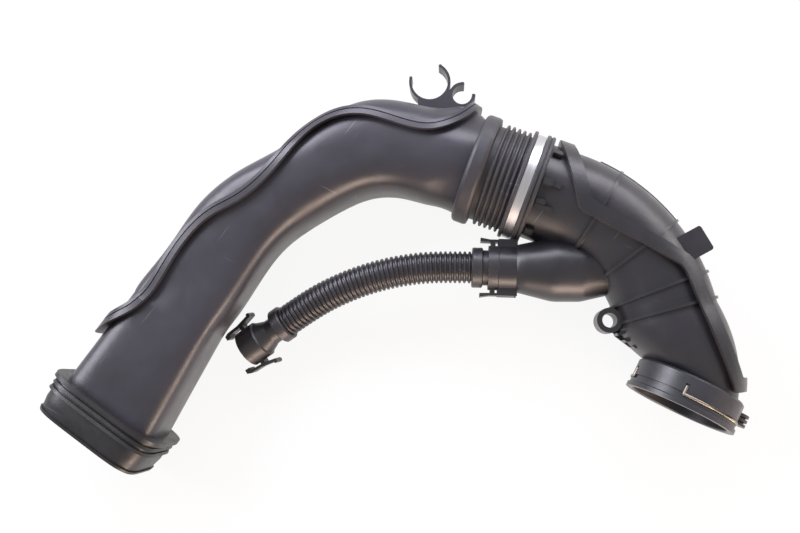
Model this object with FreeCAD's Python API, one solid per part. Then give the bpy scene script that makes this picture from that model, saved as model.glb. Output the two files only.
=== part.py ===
import FreeCAD, Part
import math
import os

# Air intake hose: welded intake duct, bellows, welded elbow, breather hose.
# Sizes in millimetres, angles in degrees. The part lies on its back, +Z up.

V = FreeCAD.Vector
UP = V(0, 0, 1)

# Intake duct: one straight limb from the inlet, then one bend to the right
INLET_X = -227.0
INLET_Y = -130.0
LIMB_HEADING = 55.0
LIMB_LENGTH = 185.0
BEND_RADIUS = 147.0
BEND_ANGLE = 76.0
DUCT_WALL = 2.4
INLET_FACE = 5.0
INLET_WIDTH = 77.4
INLET_DEPTH = 60.0
INLET_SQUARENESS = 4.6
LIMB_LEFT = 37.6
LIMB_RIGHT = 29.8
LIMB_DEPTH = 56.0
CROWN_LEFT = 42.4
CROWN_DENT = 29.0
CROWN_RIGHT = 28.4
CROWN_DEPTH = 66.0
DUCT_END_DIAMETER = 73.0
CROWN_SINK = 3.4
LIMB_BLEND = 110.0
LIMB_SQUARENESS = 4.6
CROWN_SQUARENESS = 2.8
ROUND_RUN = 8.0
BEND_SECTIONS = 10
SECTION_POINTS = 32

# Welded lips along the wavy parting line of the duct
LIP_REACH = 5.0
BODY_LIP = 4.2
COVER_LIP = 2.8
WELD_GAP_WIDTH = 0.8
WELD_GAP_DEPTH = 1.1

# Seal on the rectangular inlet
SEAL_LENGTH = 34.0
SEAL_WALL = 3.4
SEAL_FLANGE_REACH = 8.6
SEAL_FLANGE_THICKNESS = 3.0
SEAL_LIP_REACH = 7.2
SEAL_LIP_THICKNESS = 2.2
SEAL_LIP_PITCH = 4.6

# Spigots under the bellows, and the bellows itself
SPIGOT_RADIUS = 35.5
SPIGOT_BORE = 33.0
SPIGOT_LENGTH = 13.0
BEAD_HEIGHT = 1.3
BEAD_LENGTH = 3.2
BELLOWS_LENGTH = 52.8
CUFF_RADIUS = 41.5
CUFF_LENGTH = 12.0
FOLD_COUNT = 5
FOLD_PITCH = 4.1
FOLD_CREST = 38.9
FOLD_ROOT = 36.0
FOLD_WALL = 1.8
BAND_SEAT_RADIUS = 38.6
BAND_WIDTH = 7.0
CUFF_LIP_RADIUS = 41.4
CUFF_LIP_WIDTH = 3.0
END_LIP_WIDTH = 6.3

# Band clamp
BAND_THICKNESS = 0.9
BAND_LAP_ANGLE = 95.0
BAND_LAP_START = 96.0
EAR_WIDTH = 9.0
EAR_HEIGHT = 3.6
EAR_ANGLE = -128.0

# Elbow: bend, straight run, tight bend, straight run to the mouth
ELBOW_RADIUS = 36.0
ELBOW_WALL = 2.5
ELBOW_FIRST_RUN = 22.0
ELBOW_BEND_RADIUS = 112.0
ELBOW_BEND_ANGLE = 54.0
ELBOW_LAST_RUN = 10.0
NECK_REDUCTION = 2.5
NECK_BULGE = 1.5
ELBOW_LIP_REACH = 5.2
ELBOW_BODY_LIP = 5.0
ELBOW_COVER_LIP = 4.5
RIB_HEIGHT = 1.6
RIB_THICKNESS = 2.0
FIN_HEIGHT = 2.2
FIN_THICKNESS = 2.2

# Fixing lug on the inner side of the elbow
LUG_RADIUS = 9.0
LUG_HOLE_RADIUS = 5.2
LUG_ALONG = 130.0
LUG_STANDOFF = 6.1
LUG_TOP = 11.0
LUG_BOTTOM = -5.0

# Outlet socket with wire clip and seal
MOUTH_X = 198.7
MOUTH_Y = -104.0
MOUTH_HEADING = -116.8
SOCKET_DEPTH = 20.0
SOCKET_LENGTH = 22.0
SOCKET_BORE = 34.6
SOCKET_RADIUS = 38.6
RIM_RADIUS = 39.8
RIM_WIDTH = 3.0
WIRE_RADIUS = 1.1
WIRE_SETBACK = 7.5
WIRE_SEAT = 37.4
WIRE_INSET = 0.25
WIRE_TAIL = 6.0
SEAL_GROOVE_DEPTH = 2.0
SEAL_GROOVE_WIDTH = 4.0
SEAL_SETBACK = 12.0

# Breather branch on the elbow
BRANCH_X = 71.8
BRANCH_Y = -1.8
BRANCH_HEADING = -2.0
BRANCH_RADIUS = 16.8
BRANCH_BULGE = 23.6
BRANCH_LENGTH = 92.0
BRANCH_BORE = 12.0
BRANCH_SOCKET_DEPTH = 19.0
BRANCH_AIRWAY = 9.5

# Plug of the breather hose in the branch
PLUG_CLEARANCE = 0.2
PLUG_PIN_LENGTH = 16.0
PLUG_BORE = 8.5
PLUG_FLANGE_RADIUS = 16.3
PLUG_FLANGE_LENGTH = 7.0
PLUG_NECK_RADIUS = 13.0
PLUG_NECK_LENGTH = 4.0
PLUG_COLLAR_RADIUS = 14.8
PLUG_COLLAR_LENGTH = 8.0
RING_SECTION = 1.05
RING_POSITION = 8.0

# Quick connector on the free end of the breather hose
CONNECTOR_HEADING = 32.5
CONNECTOR_RADIUS = 14.3
CONNECTOR_LENGTH = 39.0
CONNECTOR_BARREL = 15.0
CONNECTOR_NECK_RADIUS = 9.8
CONNECTOR_CUFF_RADIUS = 13.7
CONNECTOR_CUFF_LENGTH = 8.0
CONNECTOR_BORE = 11.0
CONNECTOR_BORE_DEPTH = 17.0
CONNECTOR_AIRWAY = 7.6
ARM_WIDTH = 10.0
CONNECTOR_RING_SECTION = 0.8

# Breather hose
HOSE_RADIUS = 11.8
HOSE_BORE = 9.0
HOSE_RUNS = 6
HOSE_RUN_LENGTH = 25.0

# Line clip moulded on the duct cover
CLIP_BIG_RADIUS = 13.6
CLIP_BIG_X = 22.8
CLIP_BIG_Y = 139.2
CLIP_SMALL_RADIUS = 7.3
CLIP_SMALL_X = 47.0
CLIP_SMALL_Y = 128.6
CLIP_WALL = 2.0
CLIP_LENGTH = 14.0


def turn_vector(angle, length=1.0):
    """Flat vector of one length at an angle."""
    a = math.radians(angle)
    return V(length * math.cos(a), length * math.sin(a), 0)


class Route:
    """Flat path of straight runs (length, 0) and right-hand bends (radius, angle)."""

    def __init__(self, start, heading, pieces):
        self.pieces = []
        self.length = 0.0
        point = start
        for size, angle in pieces:
            run = math.radians(angle) * size if angle else size
            self.pieces.append((self.length, run, point, heading, size, angle))
            if angle:
                centre = point + turn_vector(heading - 90, size)
                heading -= angle
                point = centre + turn_vector(heading + 90, size)
            else:
                point = point + turn_vector(heading, size)
            self.length += run
        self.end = point
        self.end_heading = heading

    def at(self, along, offset=0.0):
        """Point and heading at one distance, moved to the left by offset."""
        for first, run, point, heading, size, angle in self.pieces:
            if along <= first + run or first + run >= self.length - 1e-6:
                break
        if angle:
            turned = math.degrees((along - first) / size)
            if along > first + run:
                turned = angle
            centre = point + turn_vector(heading - 90, size)
            heading -= turned
            point = centre + turn_vector(heading + 90, size)
            extra = max(0.0, along - first - run)
            point = point + turn_vector(heading, extra)
        else:
            point = point + turn_vector(heading, along - first)
        return point + turn_vector(heading + 90, offset), heading


def placed(shape, point, heading, rise=0.0):
    """Shape moved from its own X axis onto a heading and rise at a point."""
    moved = shape.copy()
    turn = FreeCAD.Rotation(UP, heading) * FreeCAD.Rotation(V(0, 1, 0), -rise)
    moved.Placement = FreeCAD.Placement(point, turn)
    return moved


def rounded_path(points, radii, closed=False):
    """Wire of straight runs through the points, corners rounded by the radii."""
    count = len(points)
    ends = []
    arcs = []
    for i, p in enumerate(points):
        radius = radii[i]
        if radius <= 0 or (not closed and i in (0, count - 1)):
            ends.append((p, p))
            arcs.append(None)
            continue
        d1 = (p - points[i - 1]).normalize()
        d2 = (points[(i + 1) % count] - p).normalize()
        half = d1.getAngle(d2) / 2
        reach = radius * math.tan(half)
        inward = (d2 - d1).normalize()
        middle = p + inward * (radius / math.cos(half) - radius)
        ends.append((p - d1 * reach, p + d2 * reach))
        arcs.append(middle)
    edges = []
    for i in range(count):
        if arcs[i] is not None:
            edges.append(Part.Arc(ends[i][0], arcs[i], ends[i][1]).toShape())
        if i < count - 1 or closed:
            a, b = ends[i][1], ends[(i + 1) % count][0]
            if a.distanceToPoint(b) > 1e-6:
                edges.append(Part.makeLine(a, b))
    return Part.Wire(edges)


def turned(profile):
    """Solid of revolution about X from (x, radius) or (x, radius, corner radius)."""
    points = [V(p[0], p[1], 0) for p in profile]
    radii = [p[2] if len(p) > 2 else 0 for p in profile]
    face = Part.Face(rounded_path(points, radii, closed=True))
    return face.revolve(V(0, 0, 0), V(1, 0, 0), 360)


def ring(along, radius, section):
    """Round-section ring about X."""
    return Part.makeTorus(radius, section, V(along, 0, 0), V(1, 0, 0))


def block(x0, x1, y0, y1, z0, z1):
    """Box between limits."""
    return Part.makeBox(x1 - x0, y1 - y0, z1 - z0, V(x0, y0, z0))


def plate(points, z0, z1):
    """Flat outline in X and Y, thick from z0 to z1."""
    outline = [V(x, y, z0) for x, y in points]
    return Part.Face(Part.makePolygon(outline + outline[:1])).extrude(V(0, 0, z1 - z0))


def cut_all(shape, tools):
    for tool in tools:
        shape = shape.cut(tool)
    return shape


def fuse_all(shapes):
    return shapes[0].multiFuse(shapes[1:]).removeSplitter()


# Routes of the air path
DUCT = Route(V(INLET_X, INLET_Y, 0), LIMB_HEADING,
             [(LIMB_LENGTH, 0), (BEND_RADIUS, BEND_ANGLE)])
BELLOWS_START = DUCT.end
BELLOWS_HEADING = DUCT.end_heading
ELBOW_START = BELLOWS_START + turn_vector(BELLOWS_HEADING, BELLOWS_LENGTH)
ELBOW = Route(ELBOW_START, BELLOWS_HEADING,
              [(ELBOW_FIRST_RUN, 0), (ELBOW_BEND_RADIUS, ELBOW_BEND_ANGLE), (ELBOW_LAST_RUN, 0)])
FLOOR = -CUFF_RADIUS
MOUTH = V(MOUTH_X, MOUTH_Y, FLOOR + RIM_RADIUS)
SOCKET_BACK = MOUTH - turn_vector(MOUTH_HEADING, SOCKET_LENGTH)
INLET_SINK = -FLOOR - INLET_DEPTH / 2 - SEAL_FLANGE_REACH


# Duct shells

def duct_shape(along):
    """Left and right half widths, depth, squareness and height of the duct at one distance."""
    low = -INLET_SINK
    half = INLET_WIDTH / 2
    end = DUCT_END_DIAMETER / 2
    crown = (LIMB_LENGTH + DUCT.length) / 2
    square = (LIMB_SQUARENESS + CROWN_SQUARENESS) / 2
    keys = ((SEAL_LENGTH, half, half, INLET_DEPTH, INLET_SQUARENESS, low),
            (LIMB_BLEND, LIMB_LEFT, LIMB_RIGHT, LIMB_DEPTH, LIMB_SQUARENESS, low),
            (LIMB_LENGTH, LIMB_LEFT + 0.8, LIMB_RIGHT - 1.4, LIMB_DEPTH, square, low),
            (LIMB_LENGTH + 67, CROWN_DENT, CROWN_RIGHT + 3.4, CROWN_DEPTH, CROWN_SQUARENESS, -CROWN_SINK),
            (crown + 20, CROWN_LEFT, CROWN_RIGHT, CROWN_DEPTH, CROWN_SQUARENESS, -CROWN_SINK),
            (DUCT.length - ROUND_RUN, end, end, 2 * end, 2.0, 0.0))
    for first, last in zip(keys, keys[1:]):
        if along <= last[0]:
            break
    t = min(1.0, max(0.0, (along - first[0]) / (last[0] - first[0])))
    t = t * t * (3 - 2 * t)
    return [p + (q - p) * t for p, q in zip(first[1:], last[1:])]


def duct_section(along, grow):
    """Rounded section standing across the duct's route, grown on every side."""
    left, right, depth, squareness, lift = duct_shape(along)
    tall = depth / 2 + grow
    point, heading = DUCT.at(along)
    side = turn_vector(heading + 90)
    points = []
    for k in range(SECTION_POINTS):
        a = 2 * math.pi * k / SECTION_POINTS
        c, s = math.cos(a), math.sin(a)
        wide = (left if c > 0 else right) + grow
        size = abs(c / wide) ** squareness + abs(s / tall) ** squareness
        r = size ** (-1 / squareness)
        points.append(point + side * (r * c) + V(0, 0, lift + r * s))
    curve = Part.BSplineCurve()
    marks = [float(k) for k in range(SECTION_POINTS + 1)]
    curve.interpolate(Points=points, PeriodicFlag=True, Parameters=marks)
    return Part.Wire(curve.toShape())


def duct_solid(grow):
    """Filled duct, its sections grown on every side: straight limb, then the bend."""
    limb = [duct_section(s, grow) for s in (INLET_FACE, SEAL_LENGTH, LIMB_BLEND)]
    step = (DUCT.length - LIMB_BLEND) / BEND_SECTIONS
    bend = [duct_section(LIMB_BLEND + k * step, grow) for k in range(BEND_SECTIONS + 1)]
    return Part.makeLoft(limb, True, True).fuse(Part.makeLoft(bend, True, False))


def weld_curve(shift):
    """Wavy parting line on the duct, moved sideways by shift."""
    marks = ((58, 66), (68, 49), (84, 39.5), (104, 28.5), (130, 26.2), (165, 28), (190, 22.5),
             (205, 15.2), (221, 12.2), (241, 15.6), (270, 29), (290, 32.5), (308, 28.3),
             (335, 16.4), (348, 15.4), (360, 22), (369, 36), (374, 64))
    points = [DUCT.at(s, o)[0] for s, o in marks]
    base = Part.BSplineCurve()
    base.interpolate(points)
    if not shift:
        return base
    moved = []
    steps = 3 * len(points)
    for k in range(steps + 1):
        u = base.FirstParameter + (base.LastParameter - base.FirstParameter) * k / steps
        across = UP.cross(base.tangent(u)[0])
        moved.append(base.value(u) + across * shift)
    curve = Part.BSplineCurve()
    curve.interpolate(moved)
    return curve


def cover_zone(shift=0.0):
    """Everything on the cover's side of the duct's parting line."""
    curve = weld_curve(shift)
    first = curve.value(curve.FirstParameter)
    last = curve.value(curve.LastParameter)
    far = [DUCT.at(DUCT.length * k / 6, 170)[0] for k in range(6, 0, -1)]
    outline = [curve.toShape(), Part.makePolygon([last] + far + [first])]
    face = Part.Face(Part.Wire(outline[0].Edges + outline[1].Edges))
    face.translate(V(0, 0, -90))
    return face.extrude(V(0, 0, 180))


def weld_lips(inside):
    """Body lip and cover lip, with the weld groove between them."""
    reach = duct_solid(LIP_REACH)
    low = duct_solid(LIP_REACH - WELD_GAP_DEPTH)
    half = WELD_GAP_WIDTH / 2
    middle = cover_zone()
    body_side = cover_zone(-BODY_LIP)
    cover_side = cover_zone(COVER_LIP)
    body = reach.common(body_side.cut(cover_zone(-half)))
    body = body.fuse(low.common(cover_zone(-half).cut(middle)))
    cover = reach.common(cover_zone(half).cut(cover_side))
    cover = cover.fuse(low.common(middle.cut(cover_zone(half))))
    return body.cut(inside), cover.cut(inside)


def line_clip():
    """Big and small open hooks joined by a web."""
    half = CLIP_LENGTH / 2
    big = V(CLIP_BIG_X, CLIP_BIG_Y, -half)
    small = V(CLIP_SMALL_X, CLIP_SMALL_Y, -half)
    hooks = []
    for centre, radius, wall, a0, a1 in (
            (big, CLIP_BIG_RADIUS, CLIP_WALL, 57, 167),
            (small, CLIP_SMALL_RADIUS, CLIP_WALL + 0.4, -6, 88)):
        hook = Part.makeCylinder(radius + wall, CLIP_LENGTH, centre)
        gap = [(centre.x, centre.y)]
        for k in range(5):
            p = centre + turn_vector(a0 + (a1 - a0) * k / 4, radius * 2.2)
            gap.append((p.x, p.y))
        hook = hook.cut(plate(gap, -half, half))
        tips = []
        for a in (a0, a1):
            p = centre + turn_vector(a, radius + wall / 2)
            tips.append(Part.makeCylinder(wall * 0.62, CLIP_LENGTH, p))
        hooks.append(hook.multiFuse(tips))
    web = plate(((CLIP_BIG_X - 9, CLIP_BIG_Y - 24), (CLIP_BIG_X - 9, CLIP_BIG_Y - 12),
                 (CLIP_BIG_X + 12, CLIP_BIG_Y - 8), (CLIP_SMALL_X - 6, CLIP_SMALL_Y + 6),
                 (CLIP_SMALL_X - 1, CLIP_SMALL_Y - 9), (CLIP_SMALL_X - 2, CLIP_SMALL_Y - 18)),
                -half, half)
    clip = web.multiFuse(hooks)
    for centre, radius in ((big, CLIP_BIG_RADIUS), (small, CLIP_SMALL_RADIUS)):
        clip = clip.cut(Part.makeCylinder(radius, CLIP_LENGTH, centre))
    return clip


def duct_spigot():
    """Round end with a bead, under the bellows cuff."""
    bead = CUFF_LENGTH - 2.5
    return placed(turned((
        (-4, SPIGOT_RADIUS - 0.2), (-4, SPIGOT_RADIUS + 0.4), (0, SPIGOT_RADIUS + 0.4),
        (0, SPIGOT_RADIUS), (bead - BEAD_LENGTH, SPIGOT_RADIUS),
        (bead - BEAD_LENGTH + 0.6, SPIGOT_RADIUS + BEAD_HEIGHT),
        (bead - 1.2, SPIGOT_RADIUS + BEAD_HEIGHT), (bead, SPIGOT_RADIUS),
        (SPIGOT_LENGTH, SPIGOT_RADIUS - 0.8), (SPIGOT_LENGTH, SPIGOT_BORE),
        (-1, SPIGOT_BORE))), BELLOWS_START, BELLOWS_HEADING)


def duct_shells():
    """Duct body and duct cover."""
    outside = duct_solid(0.0)
    inside = duct_solid(-DUCT_WALL)
    shell = outside.cut(inside)
    zone = cover_zone()
    body_lip, cover_lip = weld_lips(inside)
    body = shell.cut(zone).multiFuse([body_lip, duct_spigot()])
    cover = shell.common(zone).multiFuse([cover_lip, line_clip().cut(inside)])
    return body, cover, outside


# Inlet seal

def seal_band(along0, grow0, along1, grow1):
    """Sleeve round the duct between two distances, from one growth to another."""
    sections = [duct_section(along0, grow0), duct_section(along1, grow1)]
    return Part.makeLoft(sections, True, True)


def inlet_seal(duct):
    """Rubber sleeve with a flange and two lips on the rectangular inlet."""
    flange = SEAL_LENGTH - SEAL_FLANGE_THICKNESS
    rim = INLET_FACE
    step = SEAL_LENGTH * 0.45
    bands = [seal_band(rim, SEAL_WALL + 0.6, rim + 2, SEAL_WALL + 1.2),
             seal_band(rim + 2, SEAL_WALL, step, SEAL_WALL + 1.6),
             seal_band(step, SEAL_WALL + 1.6, SEAL_LENGTH, SEAL_WALL + 1.6),
             seal_band(flange, SEAL_FLANGE_REACH, SEAL_LENGTH, SEAL_FLANGE_REACH)]
    for k in (1, 2):
        edge = flange - k * SEAL_LIP_PITCH
        bands.append(seal_band(edge, SEAL_LIP_REACH, edge + SEAL_LIP_THICKNESS, SEAL_LIP_REACH - 0.8))
    return bands[0].multiFuse(bands[1:]).cut(duct)


# Bellows and clamp

def bellows():
    """Rubber bellows: bead cuff, folds, plain cuff with the clamp seat."""
    bead = CUFF_LENGTH - 2.5
    end = BELLOWS_LENGTH
    seat = end - END_LIP_WIDTH - BAND_WIDTH
    first = CUFF_LENGTH + 1.4 + FOLD_PITCH
    outer = [(0, CUFF_RADIUS - 2.2), (0.8, CUFF_RADIUS - 0.8), (2.6, CUFF_RADIUS),
             (CUFF_LENGTH - 2.4, CUFF_RADIUS), (CUFF_LENGTH - 0.6, CUFF_RADIUS - 0.8),
             (CUFF_LENGTH + 0.4, FOLD_ROOT)]
    inner = [(CUFF_LENGTH + 2.4, SPIGOT_RADIUS - 0.8)]
    for k in range(FOLD_COUNT):
        x = first + k * FOLD_PITCH
        outer += [(x - 1.5, FOLD_ROOT), (x - 1.0, FOLD_CREST - 0.7), (x - 0.4, FOLD_CREST),
                  (x + 0.4, FOLD_CREST), (x + 1.0, FOLD_CREST - 0.7), (x + 1.5, FOLD_ROOT)]
        inner += [(x, FOLD_CREST - FOLD_WALL), (x + FOLD_PITCH / 2, FOLD_ROOT - FOLD_WALL)]
    last = first + (FOLD_COUNT - 1) * FOLD_PITCH
    outer += [(last + FOLD_PITCH - 1.5, FOLD_ROOT), (last + FOLD_PITCH - 0.8, FOLD_CREST - 0.7),
              (seat - CUFF_LIP_WIDTH, FOLD_CREST - 0.7),
              (seat - CUFF_LIP_WIDTH + 0.3, CUFF_LIP_RADIUS - 0.5),
              (seat - CUFF_LIP_WIDTH + 0.9, CUFF_LIP_RADIUS), (seat - 0.6, CUFF_LIP_RADIUS),
              (seat, CUFF_LIP_RADIUS - 0.6), (seat, BAND_SEAT_RADIUS),
              (seat + BAND_WIDTH, BAND_SEAT_RADIUS), (seat + BAND_WIDTH, CUFF_LIP_RADIUS - 0.6),
              (seat + BAND_WIDTH + 0.6, CUFF_LIP_RADIUS), (end - 3.6, CUFF_LIP_RADIUS),
              (end - 3.2, CUFF_LIP_RADIUS - 1.0), (end - 2.6, CUFF_LIP_RADIUS - 1.0),
              (end - 2.2, CUFF_LIP_RADIUS), (end - 0.8, CUFF_LIP_RADIUS),
              (end, CUFF_LIP_RADIUS - 0.8)]
    inner += [(seat - CUFF_LIP_WIDTH - 1, SPIGOT_RADIUS), (end, SPIGOT_RADIUS)]
    start = [(0, SPIGOT_RADIUS), (bead - BEAD_LENGTH, SPIGOT_RADIUS),
             (bead - BEAD_LENGTH + 0.6, SPIGOT_RADIUS + BEAD_HEIGHT),
             (bead - 1.2, SPIGOT_RADIUS + BEAD_HEIGHT), (bead, SPIGOT_RADIUS),
             (CUFF_LENGTH, SPIGOT_RADIUS)]
    profile = outer + [p for p in reversed(start + inner)]
    return placed(turned(profile), BELLOWS_START, BELLOWS_HEADING)


def band_sector(r0, r1, x0, x1, a0, a1):
    """Part of a flat band about X between two angles, measured from Y to Z."""
    face = Part.Face(Part.makePolygon([V(x0, r0, 0), V(x1, r0, 0), V(x1, r1, 0),
                                       V(x0, r1, 0), V(x0, r0, 0)]))
    face.rotate(V(0, 0, 0), V(1, 0, 0), a0)
    return face.revolve(V(0, 0, 0), V(1, 0, 0), a1 - a0)


def band_clamp():
    """Steel band with a lapped end and one crimped ear."""
    x0 = BELLOWS_LENGTH - END_LIP_WIDTH - BAND_WIDTH + 0.3
    x1 = x0 + BAND_WIDTH - 0.6
    r0 = BAND_SEAT_RADIUS
    r1 = r0 + BAND_THICKNESS
    band = band_sector(r0, r1, x0, x1, 0, 360)
    lap = band_sector(r1, r1 + BAND_THICKNESS, x0, x1, BAND_LAP_START, BAND_LAP_START + BAND_LAP_ANGLE)
    outer = block(x0, x1, -EAR_WIDTH / 2, EAR_WIDTH / 2, r0 + 0.2, r1 + EAR_HEIGHT)
    inner = block(x0, x1, -EAR_WIDTH / 2 + BAND_THICKNESS, EAR_WIDTH / 2 - BAND_THICKNESS,
                  r1, r1 + EAR_HEIGHT - BAND_THICKNESS)
    ear = outer.cut(inner)
    ear = ear.makeFillet(1.2, [e for e in ear.Edges if e.BoundBox.ZMin > r1 + EAR_HEIGHT - 0.01
                               and e.BoundBox.YLength < 0.01])
    ear.rotate(V(0, 0, 0), V(1, 0, 0), EAR_ANGLE - 90)
    clamp = fuse_all([band, lap, ear]).cut(Part.makeCylinder(r0, 80, V(-5, 0, 0), V(1, 0, 0)))
    return placed(clamp, BELLOWS_START, BELLOWS_HEADING)


# Elbow

def pipe(radius):
    """Round solid along the whole elbow, its neck drawn in to the back of the socket."""
    parts = []
    for first, run, point, heading, size, angle in ELBOW.pieces:
        circle = Part.makeCircle(radius, point, turn_vector(heading))
        face = Part.Face(Part.Wire(circle))
        if angle:
            centre = point + turn_vector(heading - 90, size)
            parts.append(face.revolve(centre, V(0, 0, -1), angle))
        else:
            parts.append(face.extrude(turn_vector(heading, size)))
    middle = ELBOW.at(ELBOW.length + 26, 3)[0] + V(0, 0, MOUTH.z / 2)
    sections = []
    for point, heading, size in ((ELBOW.end, ELBOW.end_heading, radius),
                                 (middle, (ELBOW.end_heading + MOUTH_HEADING) / 2, radius + NECK_BULGE),
                                 (SOCKET_BACK, MOUTH_HEADING, radius - NECK_REDUCTION)):
        sections.append(Part.Wire(Part.makeCircle(size, point, turn_vector(heading))))
    return parts[0].multiFuse(parts[1:] + [Part.makeLoft(sections, True, False)])


def elbow_line(shift):
    """Stepped parting line on the elbow, moved sideways by shift."""
    edge = ELBOW_RADIUS
    marks = ((3, edge + 22), (10.5, edge - 2), (35, -5.5), (109, 18.7), (165, 23), (196, 27), (202, edge + 24))
    points = [ELBOW.at(s, o)[0] for s, o in marks]
    moved = []
    for i, p in enumerate(points):
        d1 = (p - points[i - 1]).normalize() if i else (points[1] - p).normalize()
        d2 = (points[i + 1] - p).normalize() if i < len(points) - 1 else d1
        mean = (d1 + d2).normalize()
        across = UP.cross(mean)
        moved.append(p + across * (shift / max(0.3, across.dot(UP.cross(d1)))))
    return rounded_path(moved, [0, 9, 11, 14, 20, 3, 0])


def outer_zone(shift=0.0):
    """Everything on the cover's side of the elbow's parting line."""
    line = elbow_line(shift)
    ends = line.OrderedVertexes
    first, last = ends[0].Point, ends[-1].Point
    far = [ELBOW.at(ELBOW.length * k / 4, 120)[0] for k in range(4, -1, -1)]
    face = Part.Face(Part.Wire(line.OrderedEdges + Part.makePolygon([last] + far + [first]).Edges))
    face.translate(V(0, 0, -90))
    return face.extrude(V(0, 0, 180))


def elbow_rib(along, height):
    """Thin raised ring across the elbow."""
    point, heading = ELBOW.at(along - RIB_THICKNESS / 2)
    return Part.makeCylinder(ELBOW_RADIUS + height, RIB_THICKNESS, point, turn_vector(heading))


def crown_fin():
    """Thin fin along the outer side between the first ribs."""
    a = ELBOW.at(24)[0]
    b = ELBOW.at(94)[0]
    middle, heading = ELBOW.at(59)
    fin = pipe(ELBOW_RADIUS + FIN_HEIGHT)
    length = a.distanceToPoint(b)
    limit = block(-length / 2, length / 2, 20, 70, -FIN_THICKNESS / 2, FIN_THICKNESS / 2)
    return fin.common(placed(limit, middle, heading))


def branch_outside():
    """Bulged breather branch running into the elbow."""
    shape = turned(((0, 0), (0, BRANCH_RADIUS - 0.5), (0.5, BRANCH_RADIUS), (13, BRANCH_RADIUS),
                    (15, BRANCH_RADIUS + 1.0), (40, BRANCH_BULGE, 30), (60, BRANCH_BULGE - 0.6, 20),
                    (BRANCH_LENGTH, BRANCH_RADIUS - 2), (BRANCH_LENGTH, 0)))
    return placed(shape, V(BRANCH_X, BRANCH_Y, 0), BRANCH_HEADING)


def branch_bore():
    """Socket for the plug, then the airway into the elbow."""
    depth = BRANCH_SOCKET_DEPTH
    shape = turned(((-1, 0), (-1, BRANCH_BORE), (depth, BRANCH_BORE), (depth, BRANCH_AIRWAY),
                    (BRANCH_LENGTH, BRANCH_AIRWAY), (BRANCH_LENGTH, 0)))
    return placed(shape, V(BRANCH_X, BRANCH_Y, 0), BRANCH_HEADING)


def branch_catches():
    """Guide rails and catch bars for the plug's latch arms, above and below."""
    pieces = []
    inner = BRANCH_RADIUS - 2
    for side in (1, -1):
        for z in (-6.8, 5.0):
            pieces.append(block(0, 14, *sorted((side * inner, side * 20.8)), z, z + 1.8))
        pieces.append(block(7, 9.6, *sorted((side * inner, side * 18.4)), -5.5, 5.5))
    return placed(fuse_all(pieces), V(BRANCH_X, BRANCH_Y, 0), BRANCH_HEADING)


def fixing_lug():
    """Boss for the fixing screw with a ribbed foot on the elbow."""
    centre = ELBOW.at(LUG_ALONG, -ELBOW_RADIUS - LUG_STANDOFF)[0]
    height = LUG_TOP - LUG_BOTTOM
    boss = Part.makeCylinder(LUG_RADIUS, height, centre + V(0, 0, LUG_BOTTOM))
    middle, heading = ELBOW.at(LUG_ALONG)
    reach = ELBOW_RADIUS + LUG_STANDOFF
    foot = block(-LUG_RADIUS, LUG_RADIUS, -reach, -20, LUG_BOTTOM, LUG_BOTTOM + 4)
    outline = ((0, -20), (0, -reach), (12, -reach + 3), (24, -30), (30, -20))
    shelf = plate(outline, LUG_BOTTOM, LUG_BOTTOM + 2.5)
    tall = plate(outline, LUG_BOTTOM, LUG_TOP - 2)
    ribs = [block(x, x + 2, -reach, -20, LUG_BOTTOM, LUG_TOP).common(tall) for x in (10, 16, 22)]
    web = placed(fuse_all([foot, shelf] + ribs), middle, heading)
    hole = Part.makeCylinder(LUG_HOLE_RADIUS, height, centre + V(0, 0, LUG_BOTTOM))
    return fuse_all([boss, web]), hole, centre


def elbow_spigot():
    """Round end of the elbow under the clamped cuff, and its bore."""
    x0 = BELLOWS_LENGTH - END_LIP_WIDTH - BAND_WIDTH - 3
    end = BELLOWS_LENGTH
    tube = turned(((x0, 0), (x0, SPIGOT_RADIUS - 0.8), (x0 + 2, SPIGOT_RADIUS),
                   (end, SPIGOT_RADIUS), (end, 0)))
    bore = Part.makeCylinder(SPIGOT_BORE, end - x0 + 2, V(x0 - 1, 0, 0), V(1, 0, 0))
    return [placed(shape, BELLOWS_START, BELLOWS_HEADING) for shape in (tube, bore)]


def location_tabs():
    """Small moulded stops beside the cuff, on the front of the elbow."""
    tabs = []
    for angle, length, width, height in ((51, 7, 5, 3.4), (96, 5, 2.2, 2.2), (114, 7, 4, 2.8),
                                         (119, 13, 4, 2.0), (158, 6, 7, 2.8)):
        tab = block(BELLOWS_LENGTH + 1.2, BELLOWS_LENGTH + 1.2 + length, -width / 2, width / 2,
                    ELBOW_RADIUS - 2, ELBOW_RADIUS + height)
        tab.rotate(V(0, 0, 0), V(1, 0, 0), angle - 90)
        tabs.append(placed(tab, BELLOWS_START, BELLOWS_HEADING))
    return tabs


def holder_tab():
    """Flat block standing out of the weld flange."""
    middle, heading = ELBOW.at(101)
    tab = block(-9, 10, 20, ELBOW_RADIUS + 4, 12, 29)
    tab = tab.makeFillet(2.0, [e for e in tab.Edges if e.BoundBox.ZLength > 10])
    return placed(tab, middle, heading)


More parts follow.
